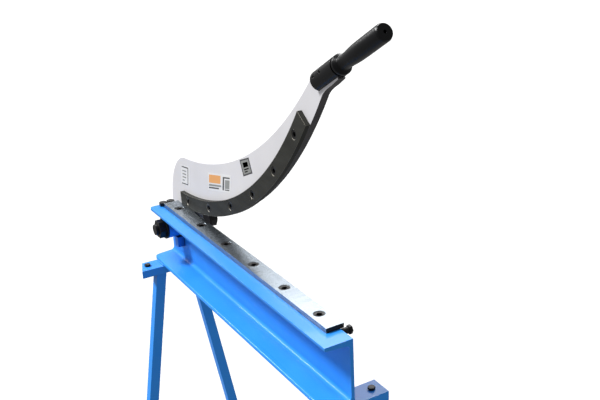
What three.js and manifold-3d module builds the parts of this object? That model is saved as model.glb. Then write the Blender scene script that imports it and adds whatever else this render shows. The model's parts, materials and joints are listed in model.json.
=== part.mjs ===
// A hand-operated guillotine plate shear on a stand: a channel bed carries the straight lower blade,
// and a pivoting arm carries the curved upper blade past it.
//
// Everything is drawn in the bed's own frame, in millimetres: X runs along the bed, from the pivot end
// towards the handle end, with zero at the lower blade screw nearest the handle. Y runs across the bed,
// with zero on the middle of the lower blade. Z is up, with zero on top of the bed. The finished group
// is then stood on the floor, with the middle of its footprint at the origin.
import * as THREE from 'three';
import { mergeVertices } from 'three/addons/utils/BufferGeometryUtils.js';
import Module from 'manifold-3d';

const wasm = await Module();
wasm.setup();

const GAP = 0.3; // clearance kept between pieces that touch
const UP = new THREE.Vector3(0, 0, 1);
const ALONG = new THREE.Vector3(1, 0, 0);
const ACROSS = new THREE.Vector3(0, 1, 0);

// Bed: a rolled channel section with tapered flanges, open towards the operator (-Y).
const bed = {
  far: -760, near: 100, height: 140, width: 60, web: 7, flange: 10, taper: 0.08,
  rootRadius: 10, toeRadius: 4, webFace: 11, cornerRadius: 12,
};

// Lower blade: a flat bar, its cutting edge along the +Y side.
const lowerBlade = { far: -736.3, near: 56.3, width: 38, thickness: 10 };
const lowerScrew = { count: 6, pitch: 136, shank: 6, head: 12, sink: 6.5, recess: 0.8, length: 22 };

// Upper blade: an arc of flat bar, its cutting edge on the outside of the arc.
const upperBlade = {
  centre: new THREE.Vector2(-747.5, 859.2), radius: 855, width: 36, thickness: 10,
  farAngle: -87.75, tipAngle: -35.9,
};
const upperScrew = {
  count: 6, firstAngle: -84.67, step: 9.08, inset: 20, shank: 5, head: 10, sink: 5.5, recess: 0.8,
};
const cuttingPlane = lowerBlade.width / 2;

// Arm: a thick plate behind the upper blade.
const arm = { thickness: 15, edgeInset: 6, lobeRadius: 92, hubRadius: 28, hubLength: 26 };
const armFace = cuttingPlane + upperBlade.thickness + 2 * GAP;
const armBack = armFace + arm.thickness;
const armMiddle = (armFace + armBack) / 2;

// Pivot: a large bolt through a boss on each side of the web, with the arm on a bush outside them.
const pivot = new THREE.Vector2(-695, -38);
const pivotBolt = { radius: 13.5, acrossFlats: 41, headLength: 19, nutLength: 16, washer: 4, tip: 7.4 };
const boss = { radius: 27, farEnd: -35, nearEnd: 26 };
const bushRadius = 19;
const washerRadius = 28;

// Handle: a socket welded on the end of the arm, with a rod clamped in it under a moulded grip.
const handle = {
  start: new THREE.Vector2(-29, 441), slope: 28.9, socketRadius: 19, socketLength: 78, rodRadius: 10,
  setScrewTilt: 20, setScrews: [12, 36], gripStart: 80.5, gripLength: 150, rodReach: 128,
};

// Arm stop at the handle end of the bed, and the two bolts in the flange beyond the lower blade.
const stop = { x: 58, z: -6.7, radius: 6.5, length: 15, shank: 4, acrossFlats: 16, head: 6.4, depth: 18 };
const flangeBolt = { places: [[-749, -16], [-751, 4]], shank: 5, acrossFlats: 17, head: 9.5, length: 8 };

// Stand: two A-frames, each hung from a flat cross bar under the bed.
const stand = {
  floor: -850, middle: -9, barCentres: { far: -721, near: 74 }, barWidth: 50, barHeight: 20, wall: 2,
  barEnds: { left: -97, right: 88 }, leftSlant: 0.35, capThickness: 3, boltOffset: 74,
  legTop: 43, legSize: 25, splay: 0.165, spreaderHeight: 150, spreaderSize: 25,
};
const foot = { width: 50, length: 84, thickness: 6, holeRadius: 6, holeInset: 17, legInset: 27 };
const barBolt = { radius: 4, acrossFlats: 13, head: 5.3, nut: 6.5 };

function paint(color, roughness, metalness) {
  return new THREE.MeshStandardMaterial({ color, roughness, metalness });
}

const finish = {
  bluePaint: paint(0x2f86ee, 0.45, 0.0),
  greyPaint: paint(0xdcd9e3, 0.5, 0.0),
  groundSteel: paint(0xd5d8da, 0.25, 1.0),
  darkSteel: paint(0x45453f, 0.4, 0.9),
  blackSteel: paint(0x1a1a1c, 0.4, 0.8),
  bronze: paint(0xa8763e, 0.35, 1.0),
  blackPlastic: paint(0x17181b, 0.45, 0.0),
};

const machine = new THREE.Group();

function addPiece(name, geometry, material) {
  const mesh = new THREE.Mesh(geometry, material);
  mesh.name = name;
  machine.add(mesh);
}

// Turns a closed geometry into a solid that can be cut and joined.
function solid(geometry) {
  const bare = geometry.clone();
  bare.deleteAttribute('normal');
  bare.deleteAttribute('uv');
  const merged = mergeVertices(bare, 1e-4);
  const vertProperties = new Float32Array(merged.attributes.position.array);
  const triVerts = new Uint32Array(merged.index.array);
  return new wasm.Manifold(new wasm.Mesh({ numProp: 3, vertProperties, triVerts }));
}

function surface(body) {
  const mesh = body.getMesh();
  const geometry = new THREE.BufferGeometry();
  geometry.setAttribute('position', new THREE.BufferAttribute(mesh.vertProperties, 3));
  geometry.setIndex(new THREE.BufferAttribute(mesh.triVerts, 1));
  return geometry;
}

function cut(geometry, ...tools) {
  return surface(tools.reduce((body, tool) => body.subtract(solid(tool)), solid(geometry)));
}

function block(xRange, yRange, zRange) {
  const middle = (range) => (range[0] + range[1]) / 2;
  const size = (range) => range[1] - range[0];
  const geometry = new THREE.BoxGeometry(size(xRange), size(yRange), size(zRange));
  return geometry.translate(middle(xRange), middle(yRange), middle(zRange));
}

// A shape drawn in X and Z, as thick as the given range of Y.
function plateAcross(shape, yFrom, yTo, curveSegments = 24) {
  const options = { depth: yTo - yFrom, bevelEnabled: false, curveSegments };
  return new THREE.ExtrudeGeometry(shape, options).rotateX(Math.PI / 2).translate(0, yTo, 0);
}

// A shape drawn in Y and Z, as long as the given range of X.
function barAlong(shape, xFrom, xTo, curveSegments = 6) {
  const options = { depth: xTo - xFrom, bevelEnabled: false, curveSegments };
  const turn = new THREE.Matrix4().makeBasis(ACROSS, UP, ALONG);
  return new THREE.ExtrudeGeometry(shape, options).applyMatrix4(turn).translate(xFrom, 0, 0);
}

// A round or six-sided bar from one point to another.
function rodBetween(from, to, radius, sides = 24) {
  const direction = new THREE.Vector3().subVectors(to, from);
  const geometry = new THREE.CylinderGeometry(radius, radius, direction.length(), sides);
  const turn = new THREE.Quaternion().setFromUnitVectors(ACROSS, direction.clone().normalize());
  const middle = new THREE.Vector3().addVectors(from, to).multiplyScalar(0.5);
  return geometry.applyQuaternion(turn).translate(middle.x, middle.y, middle.z);
}

function crossRod(centre, yFrom, yTo, radius, sides = 24) {
  const from = new THREE.Vector3(centre.x, yFrom, centre.y);
  const to = new THREE.Vector3(centre.x, yTo, centre.y);
  return rodBetween(from, to, radius, sides);
}

// A six-sided head or nut lying across the machine, with two of its flats level.
function crossHex(centre, yFrom, yTo, acrossFlats) {
  const turned = new THREE.CylinderGeometry(hexRadius(acrossFlats), hexRadius(acrossFlats), yTo - yFrom, 6);
  return turned.rotateY(Math.PI / 6).translate(centre.x, (yFrom + yTo) / 2, centre.y);
}

function uprightRod(x, y, zFrom, zTo, radius, sides = 24) {
  return rodBetween(new THREE.Vector3(x, y, zFrom), new THREE.Vector3(x, y, zTo), radius, sides);
}

function crossRing(centre, yFrom, yTo, outer, inner, sides = 24) {
  return cut(crossRod(centre, yFrom, yTo, outer, sides), crossRod(centre, yFrom - 1, yTo + 1, inner, sides));
}

const hexRadius = (acrossFlats) => acrossFlats / Math.sqrt(3);

function fuse(...geometries) {
  return surface(geometries.map(solid).reduce((body, other) => body.add(other)));
}

// A countersunk screw or its seat, turned about its own axis with the head's face at zero.
function countersunk(shank, head, sink, length, above, sides = 16) {
  const profile = [
    new THREE.Vector2(0, -length),
    new THREE.Vector2(shank, -length),
    new THREE.Vector2(shank, -sink),
    new THREE.Vector2(head, 0),
  ];
  if (above > 0) profile.push(new THREE.Vector2(head, above));
  profile.push(new THREE.Vector2(0, above));
  return new THREE.LatheGeometry(profile, sides);
}

// The channel section; grow moves every face outwards by that much.
function channelShape(grow = 0) {
  const outer = bed.webFace + grow;
  const toe = bed.webFace - bed.width - grow;
  const inner = bed.webFace - bed.web - grow;
  const halfWidth = bed.width / 2;
  const flangeAt = (y) => bed.flange + grow + (y - (bed.webFace - halfWidth)) * bed.taper;
  const root = bed.rootRadius - grow;
  const toeRound = bed.toeRadius;
  const shape = new THREE.Shape();
  shape.moveTo(outer, grow);
  shape.lineTo(toe, grow);
  shape.lineTo(toe, -flangeAt(toe) + toeRound);
  shape.quadraticCurveTo(toe, -flangeAt(toe), toe + toeRound, -flangeAt(toe + toeRound));
  shape.lineTo(inner - root, -flangeAt(inner - root));
  shape.quadraticCurveTo(inner, -flangeAt(inner), inner, -flangeAt(inner) - root);
  shape.lineTo(inner, flangeAt(inner) - bed.height + root);
  const lowFlangeAt = (y) => -bed.height + flangeAt(y);
  shape.quadraticCurveTo(inner, lowFlangeAt(inner), inner - root, lowFlangeAt(inner - root));
  shape.lineTo(toe + toeRound, lowFlangeAt(toe + toeRound));
  shape.quadraticCurveTo(toe, lowFlangeAt(toe), toe, lowFlangeAt(toe) - toeRound);
  shape.lineTo(toe, -bed.height - grow);
  shape.lineTo(outer, -bed.height - grow);
  return shape;
}

const lowerScrewX = Array.from({ length: lowerScrew.count }, (_, i) => -i * lowerScrew.pitch);

function makeBed() {
  const holes = lowerScrewX.map((x) => uprightRod(x, 0, -30, 1, lowerScrew.shank + GAP));
  holes.push(crossRod(pivot, 0, 20, pivotBolt.radius + GAP));
  const stopHole = new THREE.Vector2(stop.x, stop.z);
  holes.push(crossRod(stopHole, bed.webFace - stop.depth - 1, 20, stop.shank + GAP, 16));
  holes.push(...flangeBolt.places.map(([x, y]) => uprightRod(
    x, y, -flangeBolt.length - GAP, 1, flangeBolt.shank + GAP, 12,
  )));
  const toe = bed.webFace - bed.width;
  const corner = block(
    [bed.far - 1, bed.far + bed.cornerRadius], [toe - 1, toe + bed.cornerRadius], [-bed.height - 1, 1],
  );
  const round = uprightRod(
    bed.far + bed.cornerRadius, toe + bed.cornerRadius, -bed.height - 2, 2, bed.cornerRadius, 32,
  );
  const channel = barAlong(channelShape(), bed.far, bed.near);
  addPiece('bed_channel', cut(channel, ...holes, cut(corner, round)), finish.bluePaint);
}

function makeLowerBlade() {
  const top = GAP + lowerBlade.thickness;
  const headTop = top - lowerScrew.recess;
  const half = lowerBlade.width / 2;
  const seat = (x) => countersunk(
    lowerScrew.shank + GAP, lowerScrew.head + GAP, lowerScrew.sink, 30, 2,
  ).rotateX(Math.PI / 2).translate(x, 0, headTop);
  const bar = block([lowerBlade.far, lowerBlade.near], [-half, half], [GAP, top]);
  addPiece('lower_blade', cut(bar, ...lowerScrewX.map(seat)), finish.groundSteel);
  lowerScrewX.forEach((x, i) => {
    const screw = countersunk(lowerScrew.shank, lowerScrew.head, lowerScrew.sink, lowerScrew.length - 1, 0);
    const socket = rodBetween(new THREE.Vector3(0, -4, 0), new THREE.Vector3(0, 1, 0), hexRadius(8), 6);
    const placed = cut(screw, socket).rotateX(Math.PI / 2).translate(x, 0, headTop - GAP);
    addPiece(`lower_blade_screw_${i + 1}`, placed, finish.blackSteel);
  });
}

const degrees = THREE.MathUtils.degToRad;

function onArc(centre, radius, angle) {
  const turn = degrees(angle);
  return new THREE.Vector2(centre.x + radius * Math.cos(turn), centre.y + radius * Math.sin(turn));
}

const upperScrewPlaces = Array.from({ length: upperScrew.count }, (_, i) => onArc(
  upperBlade.centre, upperBlade.radius - upperScrew.inset, upperScrew.firstAngle + i * upperScrew.step,
));

function makeUpperBlade() {
  const { centre, radius, width, farAngle, tipAngle, thickness } = upperBlade;
  const front = cuttingPlane + GAP;
  const shape = new THREE.Shape();
  shape.absarc(centre.x, centre.y, radius, degrees(farAngle), degrees(tipAngle), false);
  shape.absarc(centre.x, centre.y, radius - width, degrees(tipAngle), degrees(farAngle), true);
  const faceAt = front + upperScrew.recess;
  const seat = (p) => countersunk(
    upperScrew.shank + GAP, upperScrew.head + GAP, upperScrew.sink, 30, 2,
  ).rotateX(Math.PI).translate(p.x, faceAt, p.y);
  const blade = plateAcross(shape, front, front + thickness, 40);
  addPiece('upper_blade', cut(blade, ...upperScrewPlaces.map(seat)), finish.darkSteel);
  const length = thickness + arm.thickness - 1;
  upperScrewPlaces.forEach((p, i) => {
    const screw = countersunk(upperScrew.shank, upperScrew.head, upperScrew.sink, length, 0);
    const socket = rodBetween(new THREE.Vector3(0, -4, 0), new THREE.Vector3(0, 1, 0), hexRadius(6), 6);
    const placed = cut(screw, socket).rotateX(Math.PI).translate(p.x, faceAt + GAP, p.y);
    addPiece(`upper_blade_screw_${i + 1}`, placed, finish.blackSteel);
  });
}

// The handle's axis, as a place that far along it and that far above it, in the arm's plane.
function alongHandle(distance, above = 0) {
  const turn = degrees(handle.slope);
  return new THREE.Vector2(
    handle.start.x + distance * Math.cos(turn) - above * Math.sin(turn),
    handle.start.y + distance * Math.sin(turn) + above * Math.cos(turn),
  );
}

function handlePoint(distance) {
  const p = alongHandle(distance);
  return new THREE.Vector3(p.x, armMiddle, p.y);
}

// The arm's outline: a round lobe about the pivot, a convex edge behind the blade, the end under the
// handle socket, and a hollow back that ends in a rounded shoulder over the pivot.
function armShape() {
  const low = { centre: upperBlade.centre, radius: upperBlade.radius - arm.edgeInset };
  const high = { centre: new THREE.Vector2(-818.9, 960.6), radius: 973 };
  const back = { centre: new THREE.Vector2(-763.5, 1107), radius: 977 };
  const angleAtX = (arc, x) => -Math.acos((x - arc.centre.x) / arc.radius);
  const joinX = -300;
  const lobeRight = degrees(10);
  const lobeLeft = degrees(-180);
  const shape = new THREE.Shape();
  shape.absarc(pivot.x, pivot.y, arm.lobeRadius, lobeLeft, lobeRight, false);
  shape.absarc(low.centre.x, low.centre.y, low.radius, angleAtX(low, -606), angleAtX(low, joinX), false);
  const highEnd = onArc(high.centre, high.radius, THREE.MathUtils.radToDeg(angleAtX(high, -12)));
  shape.absarc(high.centre.x, high.centre.y, high.radius, angleAtX(high, joinX), angleAtX(high, -12), false);
  const under = alongHandle(46, -handle.socketRadius - 4);
  shape.quadraticCurveTo(highEnd.x + 7, highEnd.y + 12, under.x, under.y);
  const lip = alongHandle(72, -handle.socketRadius - 2);
  shape.lineTo(lip.x, lip.y);
  for (const [distance, above] of [[76, -12], [-1, -12], [-1, 14]]) {
    const corner = alongHandle(distance, above);
    shape.lineTo(corner.x, corner.y);
  }
  shape.absarc(back.centre.x, back.centre.y, back.radius, angleAtX(back, -39), angleAtX(back, -690), true);
  shape.bezierCurveTo(-745, 129, -800, 66, -802, -8);
  return shape;
}

function makeArm() {
  const plate = plateAcross(armShape(), armFace, armBack, 28);
  const holeRadius = upperScrew.shank + GAP;
  const screwHoles = upperScrewPlaces.map((p) => crossRod(p, armFace - 1, armBack + 1, holeRadius, 12));
  const bore = crossRod(pivot, armFace - 1, armBack + 1, bushRadius + GAP);
  const saddle = rodBetween(handlePoint(-GAP), handlePoint(120), handle.socketRadius + GAP, 40);
  addPiece('arm_plate', cut(plate, ...screwHoles, bore, saddle), finish.greyPaint);
  const hubStart = armBack + GAP;
  const hubEnd = hubStart + arm.hubLength;
  addPiece('arm_hub', crossRing(pivot, hubStart, hubEnd, arm.hubRadius, bushRadius + GAP), finish.blackSteel);
  const bush = crossRing(pivot, armFace, hubEnd, bushRadius, pivotBolt.radius + GAP);
  addPiece('pivot_bush', bush, finish.bronze);
}

function makePivot() {
  const shank = pivotBolt.radius;
  const hole = shank + GAP;
  const hubEnd = armBack + GAP + arm.hubLength;
  const innerBoss = cut(
    crossRod(pivot, boss.farEnd, bed.webFace - bed.web + 2, boss.radius, 32),
    barAlong(channelShape(GAP), bed.far - 5, bed.near),
    crossRod(pivot, boss.farEnd - 1, 20, hole),
  );
  addPiece('pivot_boss_inner', innerBoss, finish.bluePaint);
  const outerBoss = crossRing(pivot, bed.webFace + GAP, boss.nearEnd, boss.radius, hole);
  addPiece('pivot_boss_outer', outerBoss, finish.bluePaint);
  const thrustRing = crossRing(pivot, boss.nearEnd + GAP, armFace - GAP, washerRadius, hole);
  addPiece('thrust_ring_inner', thrustRing, finish.bronze);
  const outerRing = crossRing(pivot, hubEnd + GAP, hubEnd + GAP + pivotBolt.washer, washerRadius, hole);
  addPiece('thrust_ring_outer', outerRing, finish.blackSteel);
  const washerStart = boss.farEnd - GAP;
  const washerEnd = washerStart - pivotBolt.washer;
  addPiece('pivot_washer', crossRing(pivot, washerEnd, washerStart, washerRadius, hole), finish.blackSteel);
  const nutStart = washerEnd - GAP;
  const nutEnd = nutStart - pivotBolt.nutLength;
  const { acrossFlats } = pivotBolt;
  const nut = crossHex(pivot, nutEnd, nutStart, acrossFlats);
  addPiece('pivot_nut', cut(nut, crossRod(pivot, nutEnd - 1, nutStart + 1, hole)), finish.blackSteel);
  const headStart = hubEnd + pivotBolt.washer + 2 * GAP;
  const head = crossHex(pivot, headStart, headStart + pivotBolt.headLength, acrossFlats);
  const stem = crossRod(pivot, nutEnd - pivotBolt.tip, headStart + 1, shank);
  addPiece('pivot_bolt', fuse(head, stem), finish.blackSteel);
}

function makeBossRib() {
  const face = bed.webFace - bed.web;
  const top = pivot.y - boss.radius - GAP;
  const rib = block([pivot.x - 4, pivot.x + 16], [face - 17, face - GAP], [top - 27, top]);
  addPiece('boss_rib', rib, finish.bluePaint);
}

function makeHandle() {
  const { socketRadius, socketLength, rodRadius, gripStart, gripLength, rodReach } = handle;
  const socketBore = rodBetween(handlePoint(6), handlePoint(socketLength + 1), rodRadius + GAP);
  const tilt = degrees(handle.setScrewTilt);
  const outward = new THREE.Vector3(0, -1, 0).applyAxisAngle(ALONG, -tilt);
  outward.applyAxisAngle(ACROSS, -degrees(handle.slope));
  const screwRod = (distance, inner, outer, radius, sides) => {
    const base = handlePoint(distance);
    const end = (reach) => base.clone().addScaledVector(outward, reach);
    return rodBetween(end(inner), end(outer), radius, sides);
  };
  const screwHoles = handle.setScrews.map((d) => screwRod(d, 0, socketRadius + 4, 4 + GAP, 12));
  const tube = rodBetween(handlePoint(0), handlePoint(socketLength), socketRadius, 32);
  addPiece('handle_socket', cut(tube, socketBore, ...screwHoles), finish.blackSteel);
  handle.setScrews.forEach((d, i) => {
    const screw = cut(
      screwRod(d, rodRadius + GAP, socketRadius - 1, 4, 12),
      screwRod(d, socketRadius - 4, socketRadius + 1, hexRadius(4), 6),
    );
    addPiece(`handle_set_screw_${i + 1}`, screw, finish.blackSteel);
  });
  const rod = rodBetween(handlePoint(6 + GAP), handlePoint(gripStart + rodReach), rodRadius);
  addPiece('handle_rod', rod, finish.groundSteel);

  const wall = (distance, radius) => new THREE.Vector2(radius, distance);
  const swell = new THREE.SplineCurve([
    wall(12, 13.5), wall(28, 13.3), wall(62, 15.5), wall(110, 15.7), wall(145, 15.7),
  ]);
  const bore = { rod: rodRadius + GAP, end: 3, shoulder: rodReach + GAP };
  const profile = [wall(0, bore.rod), wall(0, 17.7), wall(1.3, 19), wall(6.7, 19), wall(8, 17.7)];
  profile.push(...swell.getPoints(10), wall(gripLength, 14), wall(gripLength, bore.end));
  profile.push(wall(bore.shoulder, bore.end), wall(bore.shoulder, bore.rod), wall(0, bore.rod));
  const grip = new THREE.LatheGeometry(profile, 24);
  const direction = new THREE.Vector3().subVectors(handlePoint(1), handlePoint(0)).normalize();
  const start = handlePoint(gripStart);
  grip.applyQuaternion(new THREE.Quaternion().setFromUnitVectors(ACROSS, direction));
  grip.translate(start.x, start.y, start.z);
  addPiece('handle_grip', surface(solid(grip)), finish.blackPlastic);
}

function makeStop() {
  const centre = new THREE.Vector2(stop.x, stop.z);
  const sleeveStart = bed.webFace + GAP;
  const sleeveEnd = sleeveStart + stop.length;
  const sleeve = crossRing(centre, sleeveStart, sleeveEnd, stop.radius, stop.shank + GAP, 20);
  addPiece('stop_sleeve', sleeve, finish.blackSteel);
  const headStart = sleeveEnd + GAP;
  const head = crossHex(centre, headStart, headStart + stop.head, stop.acrossFlats);
  const stem = crossRod(centre, bed.webFace - stop.depth, headStart + 1, stop.shank, 16);
  addPiece('stop_bolt', fuse(head, stem), finish.blackSteel);
}

function makeFlangeBolts() {
  const { places, shank, acrossFlats, head, length } = flangeBolt;
  places.forEach(([x, y], i) => {
    const cap = uprightRod(x, y, GAP, GAP + head, hexRadius(acrossFlats), 6);
    addPiece(`flange_bolt_${i + 1}`, fuse(cap, uprightRod(x, y, -length, 1, shank, 12)), finish.blackSteel);
  });
}

const bottomOfBed = -bed.height - GAP;
const bottomOfBar = bottomOfBed - stand.barHeight;
const sides = { left: -1, right: 1 };

function rectangle(width, height, wall = 0) {
  const ring = (inset) => {
    const halfWidth = width / 2 - inset;
    const halfHeight = height / 2 - inset;
    return [
      new THREE.Vector2(-halfWidth, -halfHeight), new THREE.Vector2(halfWidth, -halfHeight),
      new THREE.Vector2(halfWidth, halfHeight), new THREE.Vector2(-halfWidth, halfHeight),
    ];
  };
  const shape = new THREE.Shape(ring(0));
  if (wall > 0) shape.holes.push(new THREE.Path(ring(wall)));
  return shape;
}

// The left end of a cross bar is cut at a slant, so it reaches further on the handle side.
function barEndAt(side, along) {
  return stand.barEnds[side] - (side === 'left' ? stand.leftSlant * along : 0);
}

function makeCrossBar(end, centre) {
  const { barWidth, barHeight, wall, middle, boltOffset } = stand;
  const plan = (halfWidth, left, right) => new THREE.Shape([
    new THREE.Vector2(-halfWidth, left(-halfWidth)), new THREE.Vector2(halfWidth, left(halfWidth)),
    new THREE.Vector2(halfWidth, right(halfWidth)), new THREE.Vector2(-halfWidth, right(-halfWidth)),
  ]);
  const upright = (shape, height) => new THREE.ExtrudeGeometry(shape, { depth: height, bevelEnabled: false })
    .translate(centre, 0, (bottomOfBed + bottomOfBar - height) / 2);
  const endAt = (side, inset = 0) => (along) => barEndAt(side, along) - sides[side] * inset;
  const outside = upright(plan(barWidth / 2, endAt('left'), endAt('right')), barHeight);
  const inside = block(
    [centre - barWidth / 2 + wall, centre + barWidth / 2 - wall], [middle - 150, middle + 150],
    [bottomOfBar + wall, bottomOfBed - wall],
  );
  const boltY = (side) => middle + sides[side] * boltOffset;
  const holes = Object.keys(sides).map((side) => uprightRod(
    centre, boltY(side), bottomOfBar - 5, bottomOfBed + 5, barBolt.radius + GAP, 12,
  ));
  addPiece(`${end}_cross_bar`, cut(outside, inside, ...holes), finish.bluePaint);
  const inset = wall + GAP;
  for (const side of Object.keys(sides)) {
    const faces = [endAt(side), endAt(side, stand.capThickness)];
    if (side === 'right') faces.reverse();
    const cap = upright(plan(barWidth / 2 - inset, ...faces), barHeight - 2 * inset);
    addPiece(`${end}_${side}_bar_cap`, cap, finish.bluePaint);
    makeBarBolt(`${end}_${side}`, centre, boltY(side));
  }
}

function makeBarBolt(place, x, y) {
  const { radius, acrossFlats, head, nut } = barBolt;
  const corner = hexRadius(acrossFlats);
  const headBase = bottomOfBed + GAP;
  const nutTop = bottomOfBar - GAP;
  const cap = uprightRod(x, y, headBase, headBase + head, corner, 6);
  const stem = uprightRod(x, y, nutTop - nut - 3, headBase + 1, radius, 12);
  addPiece(`${place}_bar_bolt`, fuse(cap, stem), finish.blackSteel);
  const ring = uprightRod(x, y, nutTop - nut, nutTop, corner, 6);
  const bore = uprightRod(x, y, nutTop - nut - 1, nutTop + 1, radius + GAP, 12);
  addPiece(`${place}_bar_nut`, cut(ring, bore), finish.blackSteel);
}

// How far from the stand's middle a leg's axis runs at a given height.
const legOffset = (z) => stand.legTop + stand.splay * (bottomOfBar - z);

function makeLeg(place, x, sign) {
  const top = bottomOfBar - GAP;
  const base = stand.floor + foot.thickness + GAP;
  const options = { depth: top - base, bevelEnabled: false };
  const leg = new THREE.ExtrudeGeometry(rectangle(stand.legSize, stand.legSize, stand.wall), options);
  leg.applyMatrix4(new THREE.Matrix4().makeShear(0, 0, 0, 0, 0, -sign * stand.splay));
  leg.translate(x, stand.middle + sign * legOffset(base), base);
  addPiece(`${place}_leg`, leg, finish.bluePaint);

  const axis = stand.middle + sign * legOffset(base);
  const inner = axis - sign * foot.legInset;
  const outer = inner + sign * foot.length;
  const halfWidth = foot.width / 2;
  const plate = block(
    [x - halfWidth, x + halfWidth], [Math.min(inner, outer), Math.max(inner, outer)],
    [stand.floor, stand.floor + foot.thickness],
  );
  const holeY = outer - sign * foot.holeInset;
  const hole = uprightRod(x, holeY, stand.floor - 1, stand.floor + 10, foot.holeRadius, 16);
  addPiece(`${place}_foot_plate`, cut(plate, hole), finish.bluePaint);
}

function makeSpreader(end, x) {
  const { floor, spreaderHeight, spreaderSize, legSize, middle, wall } = stand;
  const half = spreaderSize / 2;
  const height = floor + spreaderHeight;
  const reach = (z) => legOffset(z) - legSize / 2 - GAP;
  const shape = new THREE.Shape([
    new THREE.Vector2(middle - reach(height - half), height - half),
    new THREE.Vector2(middle + reach(height - half), height - half),
    new THREE.Vector2(middle + reach(height + half), height + half),
    new THREE.Vector2(middle - reach(height + half), height + half),
  ]);
  const hollow = half - wall;
  const reachAll = reach(height - half) + 10;
  const core = block(
    [x - hollow, x + hollow], [middle - reachAll, middle + reachAll], [height - hollow, height + hollow],
  );
  addPiece(`${end}_spreader`, cut(barAlong(shape, x - half, x + half), core), finish.bluePaint);
}

makeBed();
makeLowerBlade();
makeStop();
makeFlangeBolts();
makePivot();
makeBossRib();
makeArm();
makeUpperBlade();
makeHandle();
for (const [end, x] of Object.entries(stand.barCentres)) {
  makeCrossBar(end, x);
  for (const [side, sign] of Object.entries(sides)) makeLeg(`${end}_${side}`, x, sign);
  makeSpreader(end, x);
}

// Stand the machine on the floor, with the middle of its footprint at the origin.
const box = new THREE.Box3().setFromObject(machine);
machine.position.set(-(box.min.x + box.max.x) / 2, -(box.min.y + box.max.y) / 2, -box.min.z);

export default machine;
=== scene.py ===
# A hand plate shear on its stand: looks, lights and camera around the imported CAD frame.
import json
import math

import bmesh
import bpy
from mathutils import Matrix, Vector


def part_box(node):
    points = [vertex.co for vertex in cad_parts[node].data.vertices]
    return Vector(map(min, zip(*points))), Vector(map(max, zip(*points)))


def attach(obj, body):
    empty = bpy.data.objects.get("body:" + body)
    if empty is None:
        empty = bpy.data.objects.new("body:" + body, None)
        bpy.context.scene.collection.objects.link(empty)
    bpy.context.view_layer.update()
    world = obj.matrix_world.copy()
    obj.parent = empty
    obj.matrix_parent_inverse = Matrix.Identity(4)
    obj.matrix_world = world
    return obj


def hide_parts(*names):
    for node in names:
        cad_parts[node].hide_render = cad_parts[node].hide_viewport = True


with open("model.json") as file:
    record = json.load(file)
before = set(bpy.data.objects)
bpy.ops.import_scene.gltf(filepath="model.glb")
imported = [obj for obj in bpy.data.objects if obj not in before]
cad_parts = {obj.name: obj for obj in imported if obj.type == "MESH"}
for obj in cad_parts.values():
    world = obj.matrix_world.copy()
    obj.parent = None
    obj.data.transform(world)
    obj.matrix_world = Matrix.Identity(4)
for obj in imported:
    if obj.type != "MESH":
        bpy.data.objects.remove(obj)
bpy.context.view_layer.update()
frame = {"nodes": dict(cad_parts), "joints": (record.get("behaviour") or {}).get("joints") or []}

MM = 0.001
SIDES = 48              # points in a turned ring, a multiple of six for the hexagons
BLADE_LIFT = 0.3        # the lower blade stands this far above the bed
UP = Vector((0, 0, 1))
OUT = Vector((0, -1, 0))        # out of the face of the arm that carries the labels


def middle(node):
    """The middle of a CAD node's box."""
    low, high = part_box(node)
    return (low + high) / 2


def size(node):
    """The three sides of a CAD node's box."""
    low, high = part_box(node)
    return high - low


# The bed's frame: X along the bed, with zero at the lower blade's first screw, and Z zero on top of the bed.
BED_ZERO = Vector((middle("lower_blade_screw_1").x, middle("lower_blade").y,
                   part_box("lower_blade")[0].z - BLADE_LIFT * MM))


def bed_point(x, y, z):
    """A place in the bed's frame, given in millimetres, as a place in the row frame in metres."""
    return BED_ZERO + Vector((x, y, z)) * MM


PIVOT = Vector(frame["joints"][0]["pos_m"])
ARM_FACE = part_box("arm_plate")[0].y


# ---------------------------------------------------------------- materials

NOISE_RANGE = (0.3, 0.7)        # where most of a noise's values lie
CORNER_RANGE = (0.2, 0.72)      # openness of a corner that gets the full painted shade, and of one that gets none


def linear(red, green, blue):
    """An sRGB colour, 0 to 255, as linear RGBA."""
    def channel(value):
        share = value / 255
        return share / 12.92 if share <= 0.04045 else ((share + 0.055) / 1.055) ** 2.4
    return (channel(red), channel(green), channel(blue), 1.0)


def noise(nodes, links, coordinates, scale, detail=4.0):
    """The value of a noise texture at the coordinates."""
    texture = nodes.new("ShaderNodeTexNoise")
    texture.inputs["Scale"].default_value = scale
    texture.inputs["Detail"].default_value = detail
    links.new(coordinates, texture.inputs["Vector"])
    return texture.outputs["Fac"]


def remap(nodes, links, value, low, high):
    """Spreads a noise's value from low to high."""
    spread = nodes.new("ShaderNodeMapRange")
    spread.inputs["From Min"].default_value = NOISE_RANGE[0]
    spread.inputs["From Max"].default_value = NOISE_RANGE[1]
    spread.inputs["To Min"].default_value = low
    spread.inputs["To Max"].default_value = high
    links.new(value, spread.inputs["Value"])
    return spread.outputs["Result"]


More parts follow.
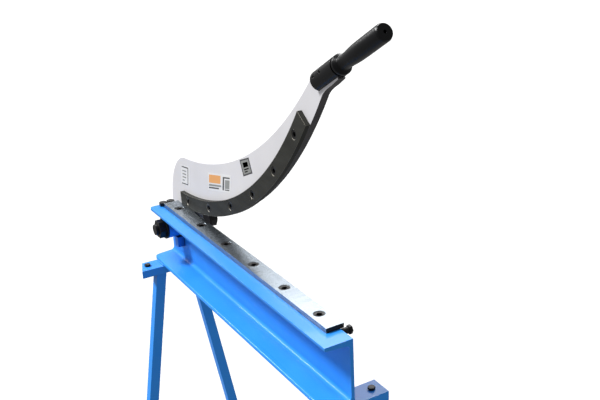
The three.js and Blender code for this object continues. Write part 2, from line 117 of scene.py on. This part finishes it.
def paint_corner_shade(made, shade_colour, reach, strength):
    """Paints shade into corners: darkens the paint towards the shade colour in corners that are narrower than
    the reach, in metres.
    """
    nodes, links = made.node_tree.nodes, made.node_tree.links
    shader = nodes["Principled BSDF"]
    paint = shader.inputs["Base Color"].links[0].from_socket
    corner = nodes.new("ShaderNodeAmbientOcclusion")
    corner.inputs["Distance"].default_value = reach
    corner.samples = 8
    share = nodes.new("ShaderNodeMapRange")
    share.inputs["From Min"].default_value = CORNER_RANGE[0]
    share.inputs["From Max"].default_value = CORNER_RANGE[1]
    share.inputs["To Min"].default_value = strength
    share.inputs["To Max"].default_value = 0
    links.new(corner.outputs["AO"], share.inputs["Value"])
    mix = nodes.new("ShaderNodeMix")
    mix.data_type = "RGBA"
    mix.inputs["B"].default_value = shade_colour
    links.new(share.outputs["Result"], mix.inputs["Factor"])
    links.new(paint, mix.inputs["A"])
    links.new(mix.outputs["Result"], shader.inputs["Base Color"])


def make_material(name, colour, second, metallic=0.0, roughness=(0.35, 0.45), specular=0.5, coat=0.0,
                  mottle=9.0, grain=900.0, relief=0.02, stretch=(1, 1, 1)):
    """Two colours mixed by a broad noise, roughness between two values, and a fine relief in millimetres."""
    made = bpy.data.materials.new(name)
    made.use_nodes = True
    nodes, links = made.node_tree.nodes, made.node_tree.links
    shader = nodes["Principled BSDF"]
    place = nodes.new("ShaderNodeTexCoord")
    mapping = nodes.new("ShaderNodeMapping")
    mapping.inputs["Scale"].default_value = stretch
    links.new(place.outputs["Object"], mapping.inputs["Vector"])
    coordinates = mapping.outputs["Vector"]
    mix = nodes.new("ShaderNodeMix")
    mix.data_type = "RGBA"
    mix.inputs["A"].default_value = colour
    mix.inputs["B"].default_value = second
    links.new(remap(nodes, links, noise(nodes, links, coordinates, mottle), 0, 1), mix.inputs["Factor"])
    links.new(mix.outputs["Result"], shader.inputs["Base Color"])
    fine = noise(nodes, links, coordinates, grain, 2.0)
    links.new(remap(nodes, links, fine, *roughness), shader.inputs["Roughness"])
    bump = nodes.new("ShaderNodeBump")
    bump.inputs["Strength"].default_value = 1.0
    bump.inputs["Distance"].default_value = relief * MM
    links.new(fine, bump.inputs["Height"])
    links.new(bump.outputs["Normal"], shader.inputs["Normal"])
    shader.inputs["Metallic"].default_value = metallic
    shader.inputs["Specular IOR Level"].default_value = specular
    shader.inputs["Coat Weight"].default_value = coat
    return made


blue = make_material("blue_paint", linear(56, 157, 253), linear(46, 148, 247), roughness=(0.3, 0.4),
                     specular=0.15, coat=0.12, mottle=7, grain=700, relief=0.03)
# Painted shade in the blue paint's corners, such as on the web under the bed's top flange.
paint_corner_shade(blue, linear(6, 34, 96), reach=0.08, strength=1.0)
# Painted highlight: a lighter blue on the rounded edges of the bed, the cross bars and the foot plates.
blue_edge_highlight = make_material("blue_paint_edge_highlight", linear(84, 178, 252), linear(46, 148, 246),
                          roughness=(0.28, 0.42), specular=0.25, coat=0.2, mottle=70, grain=1500, relief=0.05)
grey = make_material("grey_powder_coat", linear(229, 228, 231), linear(221, 220, 224), roughness=(0.42, 0.52),
                     specular=0.3, grain=1100, relief=0.04)
# Painted shade for the arm plate's rim where it faces away from the light; the arm hub wears the same colour
# as its own dark finish.
shaded_rim_and_dark_hub = make_material("shaded_rim_and_dark_hub", linear(62, 60, 61), linear(76, 73, 73), roughness=(0.5, 0.62),
                         specular=0.25, mottle=30, grain=1000, relief=0.05)
ground = make_material("ground_steel", linear(134, 142, 150), linear(120, 128, 136), metallic=1.0,
                       roughness=(0.24, 0.32), mottle=3, grain=60, relief=0.0006, stretch=(40, 4, 40))
dark_steel = make_material("dark_blade_steel", linear(56, 56, 52), linear(44, 44, 41), roughness=(0.5, 0.65),
                           specular=0.12, mottle=14, grain=260, relief=0.02, stretch=(1, 1, 4))
blade_edge = make_material("ground_blade_edge", linear(128, 124, 115), linear(98, 95, 88), metallic=0.7,
                           roughness=(0.35, 0.5), mottle=30, grain=400, relief=0.01)
blade_end = make_material("blackened_blade_end", linear(30, 31, 33), linear(44, 45, 46), metallic=0.3,
                          roughness=(0.5, 0.65), specular=0.25, mottle=60, grain=700, relief=0.03)
black_steel = make_material("black_oxide", linear(16, 16, 17), linear(26, 25, 26), roughness=(0.34, 0.48),
                            specular=0.2, mottle=40, grain=900, relief=0.02)
black_paint = make_material("black_socket_paint", linear(9, 9, 10), linear(14, 14, 16),
                            roughness=(0.2, 0.28), specular=0.2, mottle=20, grain=500, relief=0.02)
bronze = make_material("bearing_bronze", linear(176, 128, 66), linear(150, 104, 52), metallic=1.0,
                       roughness=(0.3, 0.42), mottle=40, grain=600, relief=0.01)
grip_plastic = make_material("grip_plastic", linear(9, 10, 12), linear(14, 15, 18), roughness=(0.26, 0.36),
                             specular=0.18, mottle=50, grain=1800, relief=0.06)


def label_ink(name, colour, second):
    """A printed colour, with a little of the second one mottled in."""
    return make_material(name, linear(*colour), linear(*second), roughness=(0.3, 0.4))


label_white = label_ink("label_white", (240, 240, 240), (232, 232, 234))
label_orange = label_ink("label_orange", (244, 178, 112), (238, 168, 98))
label_grey = label_ink("label_grey", (150, 152, 150), (140, 142, 140))
label_dark = label_ink("label_dark", (74, 74, 78), (64, 64, 68))
floor_white = make_material("pale_floor", (0.9, 0.9, 0.9, 1), (0.88, 0.88, 0.88, 1), roughness=(0.8, 0.9),
                            specular=0.0, grain=40, relief=0.0)


# ---------------------------------------------------------------- geometry

SAME_POINT = 0.01       # CAD corners closer than this, in millimetres, are one point
FLAT_ANGLE = math.radians(0.6)
EDGE_ANGLE = math.radians(35)
CHAMFER_SLOPE = 0.577   # the tangent of 30 degrees
WASHER_FACE = 0.46      # radius of a nut's bearing face, as a share of its width across flats


def link(name, mesh, *paints):
    """A new piece made of the mesh, with one material slot for each paint."""
    piece = bpy.data.objects.new(name, mesh)
    bpy.context.scene.collection.objects.link(piece)
    mesh.materials.clear()
    for paint in paints:
        mesh.materials.append(paint)
    return piece


def loft(name, rings, paint, loop=False, place=None, sharp=30):
    """Skins a row of rings that have the same number of points. The ends are closed, or joined by loop."""
    builder = bmesh.new()
    rows = [[builder.verts.new(point) for point in ring] for ring in rings]
    pairs = list(zip(rows, rows[1:]))
    if loop:
        pairs.append((rows[-1], rows[0]))
    for lower, upper in pairs:
        for i in range(len(lower)):
            j = (i + 1) % len(lower)
            builder.faces.new((lower[i], lower[j], upper[j], upper[i]))
    if not loop:
        builder.faces.new(list(reversed(rows[0])))
        builder.faces.new(rows[-1])
    bmesh.ops.recalc_face_normals(builder, faces=builder.faces)
    mesh = bpy.data.meshes.new(name)
    builder.to_mesh(mesh)
    builder.free()
    if place:
        mesh.transform(place)
    mesh.shade_smooth()
    mesh.set_sharp_from_angle(angle=math.radians(sharp))
    return link(name, mesh, paint)


def angles(count=SIDES):
    """Equal steps around a full turn, in radians."""
    return [2 * math.pi * i / count for i in range(count)]


def circle(radius, height):
    """A level ring of points."""
    return [Vector((radius * math.cos(a), radius * math.sin(a), height)) for a in angles()]


def hexagon(flats, height, fall=0.0):
    """A six-sided ring; its corners fall away from the given height by a 30 degree chamfer."""
    points = []
    for a in angles():
        radius = flats / 2 / math.cos((a % (math.pi / 3)) - math.pi / 6)
        level = height - fall * (radius - flats / 2) * CHAMFER_SLOPE
        points.append(Vector((radius * math.cos(a), radius * math.sin(a), level)))
    return points


def turned(*steps):
    """Rings of a turned shape, from (radius, height) steps in millimetres."""
    return [circle(radius * MM, height * MM) for radius, height in steps]


def facing(origin, axis):
    """A frame at origin whose Z is the given axis."""
    turn = axis.to_track_quat("Z", "Y").to_matrix().to_4x4()
    return Matrix.Translation(origin) @ turn


def soften(piece, width, edge_slot=None):
    """Rounds the piece's sharp edges by a width in millimetres, in the paint of edge_slot if one is given."""
    bevel = piece.modifiers.new("edges", "BEVEL")
    bevel.width = width * MM
    bevel.segments = 2
    bevel.limit_method = "ANGLE"
    bevel.angle_limit = EDGE_ANGLE
    if edge_slot is not None:
        bevel.material = edge_slot
    normals = piece.modifiers.new("normals", "WEIGHTED_NORMAL")
    normals.keep_sharp = False


def put(piece, body, slot, *nodes):
    """Rides the piece on its body and lets it stand for CAD nodes. The slot is not used."""
    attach(piece, body)
    if nodes:
        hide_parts(*nodes)
    return piece


def refine(node, body, slot, width, *paints, edge_slot=None):
    """A copy of a CAD solid with its flat faces made whole and its edges rounded."""
    mesh = frame["nodes"][node].data.copy()
    builder = bmesh.new()
    builder.from_mesh(mesh)
    bmesh.ops.remove_doubles(builder, verts=builder.verts, dist=SAME_POINT * MM)
    bmesh.ops.dissolve_limit(
        builder, angle_limit=FLAT_ANGLE, verts=builder.verts, edges=builder.edges, delimit=set(),
    )
    builder.to_mesh(mesh)
    builder.free()
    mesh.shade_smooth()
    piece = link(f"{node}_finished", mesh, *paints)
    soften(piece, width, edge_slot)
    return put(piece, body, slot, node)


# ---------------------------------------------------------------- fasteners

def thread(radius, start, end, pitch, groove, marks):
    """Steps of a ribbed shank. Each rib starts a pitch after the last, with marks as shares of the pitch."""
    rise, bottom, crest = marks
    steps = []
    while start < end:
        steps += [
            (radius, start + pitch * rise),
            (radius - groove, start + pitch * bottom),
            (radius, start + pitch * crest),
        ]
        start += pitch
    return steps


def hex_bolt(node, flats, head, shank):
    """An upright hexagon bolt for a CAD one, with a washer face, chamfered corners and a ribbed shank."""
    reach = size(node).z / 2
    seat = middle(node) + UP * reach - UP * head * MM
    length = 2 * reach / MM - head
    pitch = 1.6
    tip = 1.0
    plain = 0.5
    washer_radius = flats * 0.47
    steps = [(shank * 0.78, -length), (shank, -length + tip)]
    steps += thread(shank, -length + tip, -plain - pitch, pitch, 0.55, (0.15, 0.55, 0.95))
    rings = turned(*steps, (shank, 0), (washer_radius, 0), (washer_radius, 0.5))
    rings += [hexagon(flats * MM, 0.5 * MM), hexagon(flats * MM, head * MM, fall=1.0)]
    rings += turned((flats * WASHER_FACE, head), (flats * 0.28, head - 0.25))
    piece = loft(f"{node}_finished", rings, black_steel, place=facing(seat, UP))
    put(piece, "stand", "black_steel", node)


def hex_nut(node, flats, height, bore):
    """A nut that stands on the CAD nut's lower face, chamfered at both ends and in its bore."""
    centre = middle(node)
    seat = Vector((centre.x, centre.y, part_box(node)[0].z))
    lead = 0.6
    mouth = bore + 0.9
    rings = turned((bore, lead), (mouth, 0), (flats * WASHER_FACE, 0))
    rings += [hexagon(flats * MM, 0, fall=-1.0), hexagon(flats * MM, height * MM, fall=1.0)]
    rings += turned((flats * WASHER_FACE, height), (mouth, height), (bore, height - lead))
    piece = loft(f"{node}_finished", rings, black_steel, loop=True, place=facing(seat, UP))
    put(piece, "stand", "black_steel", node)


def socket_screw(name, node, axis, body, shank):
    """A countersunk socket screw in a blade, with a conical head, a hexagon recess and a ribbed shank."""
    extent = size(node)
    head = extent.x / MM / 2
    length = extent.y / MM if abs(axis.y) > 0.5 else extent.z / MM
    top = middle(node) + axis * (length / 2 * MM)
    tip = 0.8
    land = 0.8
    recess = head * 0.95
    steps = [(shank * 0.8, -length), (shank, -length + tip)]
    steps += thread(shank, -length + tip, -head + shank - 2, 1.0, 0.4, (0.2, 0.6, 1.0))
    steps += [(shank, -(head - shank) - land), (head - 0.1, -land), (head, -0.5), (head - 0.3, 0)]
    rings = turned(*steps, (recess * 0.66, 0))
    rings += [hexagon(recess * MM, -0.5 * MM), hexagon(recess * MM, -head * 0.55 * MM)]
    rings += turned((0.3, -head * 0.66))
    piece = loft(name, rings, black_steel, place=facing(top, axis))
    put(piece, body, "black_steel", node)


# ---------------------------------------------------------------- the bed and its blade

BLADE_END_AREA = 100 * MM * MM      # the blade's two ends are larger, and the facets of its holes smaller

refine("bed_channel", "stand", "blue_paint", 0.7, blue, blue_edge_highlight, edge_slot=1)

blade = refine("lower_blade", "stand", "ground_steel", 0.5, ground, blade_end)
for face in blade.data.polygons:
    if abs(face.normal.x) > 0.9 and face.area > BLADE_END_AREA:
        face.material_index = 1

for node in ("pivot_boss_inner", "pivot_boss_outer", "boss_rib"):
    refine(node, "stand", "blue_paint", 0.8, blue)

for number in range(1, 7):
    socket_screw(f"lower_screw_{number}", f"lower_blade_screw_{number}", UP, "stand", shank=3)


# ---------------------------------------------------------------- the arm, its blade and its pivot

plate = refine("arm_plate", "arm", "grey_paint", 0.8, grey, shaded_rim_and_dark_hub, edge_slot=0)
for face in plate.data.polygons:
    # The rim takes painted shade, a dark paint, where it faces down, or towards the handle, away from the
    # light.
    if abs(face.normal.y) < 0.5 and 0.8 * face.normal.x > 0.6 * face.normal.z:
        face.material_index = 1

refine("upper_blade", "arm", "dark_steel", 0.4, dark_steel, blade_edge, edge_slot=1)
for number in range(1, 7):
    socket_screw(f"upper_screw_{number}", f"upper_blade_screw_{number}", OUT, "arm", shank=2.5)

refine("arm_hub", "arm", "black_steel", 0.6, shaded_rim_and_dark_hub)
refine("pivot_bush", "arm", "bronze", 0.4, bronze)
refine("thrust_ring_inner", "stand", "bronze", 0.3, bronze)
refine("thrust_ring_outer", "stand", "black_steel", 0.3, black_steel)
refine("pivot_washer", "stand", "black_steel", 0.4, black_steel)
for node in ("pivot_bolt", "pivot_nut"):
    refine(node, "stand", "black_steel", 0.5, black_steel)


# ---------------------------------------------------------------- bolts on the bed and its cross bars

for node in ("flange_bolt_1", "flange_bolt_2"):
    hex_bolt(node, flats=17, head=9.5, shank=5)
for end in ("far", "near"):
    for hand in ("left", "right"):
        hex_bolt(f"{end}_{hand}_bar_bolt", flats=13, head=5.3, shank=4)
        hex_nut(f"{end}_{hand}_bar_nut", flats=13, height=6.5, bore=4.15)
for node in ("stop_bolt", "stop_sleeve"):
    refine(node, "stand", "black_steel", 0.4, black_steel)


# ---------------------------------------------------------------- the handle

refine("handle_socket", "arm", "black_steel", 0.8, black_paint)
refine("handle_rod", "arm", "ground_steel", 0.4, ground)
for node in ("handle_set_screw_1", "handle_set_screw_2"):
    refine(node, "arm", "black_steel", 0.3, black_steel)
refine("handle_grip", "arm", "grip", 0.5, grip_plastic)


# ---------------------------------------------------------------- the stand

for end in ("far", "near"):
    refine(f"{end}_cross_bar", "stand", "blue_paint", 0.4, blue, blue_edge_highlight, edge_slot=1)
    refine(f"{end}_spreader", "stand", "blue_paint", 0.8, blue)
    for hand in ("left", "right"):
        refine(f"{end}_{hand}_bar_cap", "stand", "blue_paint", 0.3, blue)
        refine(f"{end}_{hand}_leg", "stand", "blue_paint", 0.9, blue)
        refine(f"{end}_{hand}_foot_plate", "stand", "blue_paint", 0.5, blue, blue_edge_highlight, edge_slot=1)


# ---------------------------------------------------------------- weld beads

BEAD_STEP = 0.9
BAR_BEAD_INSET = 4          # a bead stops this far from the end of the edge it joins
LEG_HALF = 12.5             # half the width of a leg's tube
LEG_HALF_ACROSS = 12.9      # the same, cut level across the leaning leg
FOOT_BEAD_LIFT = 0.4
WEB_FACE = 4                # the web's face on its open side, in the bed's frame
WEB_BEAD_SINK = 0.6
BOSS_BEAD_GAP = 0.8
BOSS_BEAD_CORNERS = 40


def weld(name, points, radius, closed=False):
    """A rippled bead along a path of points in the row frame."""
    path = [Vector(point) for point in points]
    if closed:
        path.append(path[0])
    samples = []
    for start, end in zip(path, path[1:]):
        count = max(1, round((end - start).length / (BEAD_STEP * MM)))
        samples += [start.lerp(end, i / count) for i in range(count)]
    if not closed:
        samples.append(path[-1])
    last = len(samples) - 1
    side = None
    rings = []
    for i, point in enumerate(samples):
        ahead = samples[(i + 1) % len(samples)] if closed else samples[min(i + 1, last)]
        behind = samples[i - 1] if closed or i else samples[0]
        along = (ahead - behind).normalized()
        if side is None:
            side = along.orthogonal().normalized()
        else:
            side = (side - along * side.dot(along)).normalized()
        other = along.cross(side)
        ripple = 0.1 * math.sin(i * 1.9)
        drift = 0.06 * math.sin(i * 0.37)
        swell = radius * MM * (1 + ripple + drift)
        if not closed and i in (0, last):
            swell *= 0.5
        rings.append([point + (side * math.cos(a) + other * math.sin(a)) * swell for a in angles(8)])
    put(loft(name, rings, blue, loop=closed, sharp=70), "stand", "blue_paint")


def level_square(centre, half, height):
    """The corners of a level square, for a bead around a leg."""
    turns = ((-1, -1), (1, -1), (1, 1), (-1, 1))
    return [(centre.x + a * half, centre.y + b * half, height) for a, b in turns]


def bar_welds(end):
    """Two beads in the corners between the cross bar's top and the edges of the bed's lower flange."""
    bar_low, bar_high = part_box(f"{end}_cross_bar")
    bed_low, bed_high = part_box("bed_channel")
    first = max(bar_low.x, bed_low.x) + BAR_BEAD_INSET * MM
    last = min(bar_high.x, bed_high.x) - BAR_BEAD_INSET * MM
    for side, edge in (("left", bed_low.y), ("right", bed_high.y)):
        weld(f"{end}_bar_weld_{side}", [(first, edge, bar_high.z), (last, edge, bar_high.z)], radius=2.6)


def foot_weld(end, hand):
    """A bead around the leg where it meets its foot plate."""
    leg_low, leg_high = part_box(f"{end}_{hand}_leg")
    plate_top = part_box(f"{end}_{hand}_foot_plate")[1].z
    outward = 1 if middle(f"{end}_{hand}_leg").y > 0 else -1
    outer = leg_high.y if outward > 0 else leg_low.y
    centre = Vector(((leg_low.x + leg_high.x) / 2, outer - outward * LEG_HALF_ACROSS * MM, 0))
    corners = level_square(centre, LEG_HALF * MM, plate_top + FOOT_BEAD_LIFT * MM)
    weld(f"{end}_{hand}_foot_weld", corners, radius=2.2, closed=True)


def boss_weld():
    """A bead around the inner pivot boss where it meets the web."""
    web_side = bed_point(0, WEB_FACE, 0).y - WEB_BEAD_SINK * MM
    radius = size("pivot_boss_inner").x / 2 + BOSS_BEAD_GAP * MM
    turn = [Vector((radius * math.cos(a), 0, radius * math.sin(a))) for a in angles(BOSS_BEAD_CORNERS)]
    arc = [PIVOT + spoke for spoke in turn]
    weld("inner_boss_weld", [(point.x, web_side, point.z) for point in arc], radius=2.2, closed=True)


for end in ("far", "near"):
    bar_welds(end)
    for hand in ("left", "right"):
        foot_weld(end, hand)
boss_weld()


# ---------------------------------------------------------------- labels on the arm

LABEL_BACK = 0.02           # from the arm's face out to the back of a label, its ground and its marks
LABEL_GROUND = 0.15
LABEL_MARKS = 0.25


def label(name, corners, shapes):
    """A thin label on the arm's face. corners give its top left, top right, bottom right and bottom left in
    the bed's X and Z; each shape is a paint with four numbers from 0 to 1: left, top, right and bottom."""
    top_left, top_right, low_right, low_left = (bed_point(x, 0, z) for x, z in corners)

    def spot(u, v, proud):
        upper = top_left.lerp(top_right, u)
        lower = low_left.lerp(low_right, u)
        place = upper.lerp(lower, v)
        place.y = ARM_FACE - proud * MM
        return place

    for layer, (paint, left, top, far_right, bottom) in enumerate(shapes):
        proud = LABEL_MARKS if layer else LABEL_GROUND
        ring = [(left, top), (far_right, top), (far_right, bottom), (left, bottom)]
        back = [spot(u, v, LABEL_BACK) for u, v in ring]
        front = [spot(u, v, proud) for u, v in ring]
        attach(loft(f"{name}_{layer}", [back, front], paint), "arm")


label("square_label", ((-368.8, 210.9), (-323.1, 228.1), (-309.1, 196.7), (-354.7, 177.5)), (
    (label_dark, 0, 0, 1, 1),
    (label_grey, 0.09, 0.09, 0.91, 0.91),
    (label_dark, 0.24, 0.22, 0.76, 0.52),
    (label_dark, 0.24, 0.6, 0.76, 0.68),
    (label_dark, 0.24, 0.75, 0.58, 0.82),
))
label("warning_label", ((-549.2, 133.7), (-419.6, 161.9), (-429.9, 117.8), (-558.8, 87.5)), (
    (label_white, 0, 0, 1, 1),
    (label_orange, 0.05, 0.1, 0.56, 0.56),
    (label_grey, 0.05, 0.64, 0.6, 0.74),
    (label_dark, 0.05, 0.8, 0.5, 0.88),
    (label_dark, 0.66, 0.14, 0.95, 0.22),
    (label_dark, 0.66, 0.22, 0.72, 0.9),
    (label_grey, 0.76, 0.3, 0.95, 0.8),
    (label_dark, 0.76, 0.84, 0.95, 0.9),
))
label("upright_label", ((-719, 108.7), (-660, 116.5), (-672.8, 62.3), (-729.4, 54.1)), (
    (label_white, 0, 0, 1, 1),
    (label_dark, 0.08, 0.05, 0.8, 0.11),
    (label_dark, 0.74, 0.11, 0.8, 0.9),
    (label_grey, 0.16, 0.24, 0.58, 0.3),
    (label_grey, 0.16, 0.4, 0.58, 0.46),
    (label_grey, 0.16, 0.56, 0.58, 0.62),
    (label_grey, 0.16, 0.72, 0.4, 0.78),
    (label_dark, 0.08, 0.9, 0.8, 0.95),
))


# ---------------------------------------------------------------- floor and lights

FLOOR_HALF = 80             # metres from the middle of the floor to its edge
FLOOR_HEIGHT = -0.0005      # just under the feet
WORLD_STRENGTH = 0.36
SUN_STRENGTH = 3.9
SUN_SPREAD = math.radians(12)
SUN_FROM = Vector((-0.42, -0.62, 1))


def lay_floor():
    """A wide pale floor that takes shadows, but sends no light back up and isn't reflected."""
    turns = ((-1, -1), (1, -1), (1, 1), (-1, 1))
    corners = [(a * FLOOR_HALF, b * FLOOR_HALF, FLOOR_HEIGHT) for a, b in turns]
    mesh = bpy.data.meshes.new("floor")
    mesh.from_pydata(corners, [], [(0, 1, 2, 3)])
    floor = link("floor", mesh, floor_white)
    floor.visible_diffuse = False
    floor.visible_glossy = False


def light_world():
    """An even white light from everywhere."""
    world = bpy.data.worlds.new("studio")
    bpy.context.scene.world = world
    world.use_nodes = True
    background = world.node_tree.nodes["Background"]
    background.inputs["Color"].default_value = (1, 1, 1, 1)
    background.inputs["Strength"].default_value = WORLD_STRENGTH


def hang(name, lamp, direction):
    """A holder for the lamp, which shines from the given direction."""
    holder = bpy.data.objects.new(name, lamp)
    holder.rotation_euler = direction.to_track_quat("Z", "Y").to_euler()
    bpy.context.scene.collection.objects.link(holder)
    return holder


def light_sun():
    """The main light, from above, in front, and the pivot's end of the bed."""
    lamp = bpy.data.lights.new("ceiling_light", "SUN")
    lamp.energy = SUN_STRENGTH
    lamp.angle = SUN_SPREAD
    hang("ceiling_light", lamp, SUN_FROM)


def reflected_light(name, place, target, width, height, power):
    """A rectangle of light that shows only in reflections."""
    lamp = bpy.data.lights.new(name, "AREA")
    lamp.shape = "RECTANGLE"
    lamp.size = width
    lamp.size_y = height
    lamp.energy = power
    holder = hang(name, lamp, Vector(place) - Vector(target))
    holder.location = place
    holder.visible_diffuse = False


lay_floor()
light_world()
light_sun()
reflected_light("strip_light", (-2.0, -1.0, 2.3), (0, 0, 0.8), 1.4, 0.4, 52)
reflected_light("back_softbox", (-1.95, 1.5, 3.15), (0.2, -0.1, 0.9), 3.2, 1.3, 130)


# ---------------------------------------------------------------- camera

CAMERA_PLACE = bed_point(1212.55, -682.47, 753.99)
AZIMUTH = math.radians(53.62)
ELEVATION = math.radians(20.52)
LENS = 49.885
SENSOR = 36
SHIFT = -0.18335
FARTHEST = 60               # metres


def aim_camera():
    """The camera stands in front of the bed and beyond the handle's end, and looks down along it."""
    level = math.cos(ELEVATION)
    look = Vector((-math.sin(AZIMUTH) * level, math.cos(AZIMUTH) * level, -math.sin(ELEVATION)))
    right = Vector((math.cos(AZIMUTH), math.sin(AZIMUTH), 0))
    lens = bpy.data.cameras.new("camera")
    lens.lens = LENS
    lens.sensor_width = SENSOR
    lens.shift_x = SHIFT
    lens.clip_end = FARTHEST
    camera = bpy.data.objects.new("camera", lens)
    turn = Matrix((right, right.cross(look), -look)).transposed().to_4x4()
    camera.matrix_world = Matrix.Translation(CAMERA_PLACE) @ turn
    bpy.context.scene.collection.objects.link(camera)
    bpy.context.scene.camera = camera
    bpy.context.scene.view_settings.view_transform = "Standard"


aim_camera()
